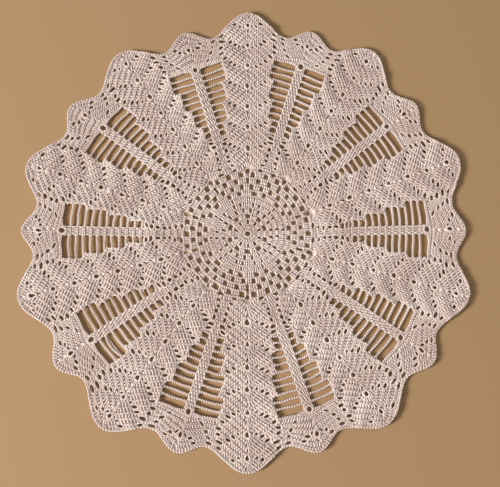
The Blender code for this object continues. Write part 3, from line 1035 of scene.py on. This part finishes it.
def groundLoops():
    # the sheet's edge, and then its holes: every slot, every gap and the first ring
    loops = [fromPolar(easeBetween(rimReaches, rimBearings) - ground["rimInset"], rimBearings)]
    for axisDeg in ladderAxes:
        for side in (-1, 1):
            loops += [lay(slotLoop(axisDeg, side, row)) for row in range(ladder["slotRows"])]
    angle = 2 * np.pi * (np.arange(ground["gapCorners"]) + 0.5) / ground["gapCorners"]
    corners = np.stack([np.cos(angle), np.sin(angle)])
    for gap in allGaps:
        halves = gap[4:6, None] + ground["gapGrow"]
        long, wide = halves * abs(corners) ** (2 / gap[6]) * np.sign(corners)
        loops.append(lay(fromGapFrame(gap, long, wide)))
    loops.append(lay(fromPolar(1.0, np.degrees(angle)) * wheel["ringHole"]))
    return loops


def groundGrid():
    # places inside the sheet that let it follow the folds
    steps = np.arange(-ground["gridHalf"], ground["gridHalf"], ground["grid"])
    grid = np.stack(np.meshgrid(steps, steps), -1).reshape(-1, 2)
    reach, bearing = polar(grid)
    edge = easeBetween(rimReaches, bearing) - ground["rimInset"] - ground["gridInset"]
    grid = grid[reach < edge]
    return grid[gapShare(unlay(grid)) > ground["gridClear"]]


def groundSheet():
    loops = groundLoops()
    ends = np.cumsum([len(loop) for loop in loops]).tolist()
    corners = [list(range(end - len(loop), end)) for loop, end in zip(loops, ends)]
    places = [Vector(place) for place in np.concatenate(loops + [groundGrid()])]
    filled = delaunay_2d_cdt(places, [], corners, 0, ground["weld"], True)
    # what belongs to the edge's loop alone is cloth
    faces = [face for face, owners in zip(filled[2], filled[5]) if owners == [0]]
    flat = np.array([tuple(place) for place in filled[0]])
    chartFlat = unlay(flat)
    height = ground["height"] + heightAt(chartFlat) * ground["foldShare"] + liftAt(flat)
    height -= ground["wheelDrop"] * (np.hypot(*chartFlat.T) < wheel["netReach"])
    vertices = np.concatenate([flat - middle, height[:, None]], 1) * mm
    used, corners = np.unique(faces, return_inverse=True)
    mesh = bpy.data.meshes.new("ground")
    mesh.from_pydata(vertices[used].tolist(), [], corners.reshape(-1, 3).tolist())
    mesh.polygons.foreach_set("use_smooth", np.ones(len(faces), bool))
    # the sheet's darker cotton colour is painted shade between the stitches
    mesh.materials.append(paintedShadeCotton())
    area = sum(polygon.area for polygon in mesh.polygons)
    print("ground has", len(faces), "triangles and", round(area, 4), "square metres")
    return addObject("ground", mesh)


for work in (petalStitches, scallopStitches, wheelStitches, firstRing, ribStitches, ladderChains,
             slotEnds, archCords, petalEdges, rimStitches, gapEyes):
    work()
    print(work.__name__, "are done,", worked, "so far")
cotton = mercerisedCotton()
stitchPieces = [makePiece(pieceName, cotton) for pieceName in sorted(meshParts)]
sheet = groundSheet()

for piece in [sheet] + stitchPieces:
    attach(piece, "root")
    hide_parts("lace_doily")

# a plain painted table top under soft light from the left, in metres and watts
studio = {
    "floorHalf": 1.5,
    "floorColour": "#AB875F",
    "floorRoughness": 0.85,
    "lamps": {
        "key": {"place": (-2.50, -0.87, 1.30), "size": 0.85, "watts": 137.0},
        "fill": {"place": (0.2, 0.8, 2.4), "size": 1.8, "watts": 5.0},
    },
    "worldColour": "#F2F2F5",
    "worldStrength": 0.325,
}


def paleFloor():
    half = studio["floorHalf"]
    mesh = bpy.data.meshes.new("floor")
    corners = [(-half, -half, 0), (half, -half, 0), (half, half, 0), (-half, half, 0)]
    mesh.from_pydata(corners, [], [(0, 1, 2, 3)])
    # matt paint: one flat colour that shows no reflection
    material, _, _ = newMaterial("mattPaint", {
        "Base Color": linear(studio["floorColour"]),
        "Roughness": studio["floorRoughness"],
    })
    mesh.materials.append(material)
    addObject("floor", mesh)


def softLight(lightName, place, size, watts):
    light = bpy.data.lights.new(lightName, "AREA")
    light.shape = "DISK"
    light.size = size
    light.energy = watts
    lamp = addObject(lightName, light)
    lamp.location = place
    lamp.rotation_euler = (-Vector(place)).to_track_quat("-Z", "Y").to_euler()


paleFloor()
for lightName, lamp in studio["lamps"].items():
    softLight(lightName, **lamp)
world = bpy.context.scene.world or bpy.data.worlds.new("studio")
bpy.context.scene.world = world
world.use_nodes = True
background = world.node_tree.nodes["Background"]
background.inputs["Color"].default_value = linear(studio["worldColour"])
background.inputs["Strength"].default_value = studio["worldStrength"]
bpy.context.scene.view_settings.view_transform = "Standard"

# the camera looks nearly straight down, tilted back from the near edge; its aim is in mm
view = {"lensMm": 50.0, "sensorMm": 36.0, "tiltDeg": 9.5, "aim": (1.70, -7.72), "distance": 560.6}
cameraData = bpy.data.cameras.new("camera")
cameraData.lens = view["lensMm"]
cameraData.sensor_width = view["sensorMm"]
camera = addObject("camera", cameraData)
tilt = np.radians(view["tiltDeg"])
aim = np.array(view["aim"]) - middle
back, up = view["distance"] * np.sin(tilt), view["distance"] * np.cos(tilt)
camera.location = (aim[0] * mm, (aim[1] - back) * mm, up * mm)
camera.rotation_euler = (tilt, 0.0, 0.0)
bpy.context.scene.camera = camera
print("camera and lights are placed")
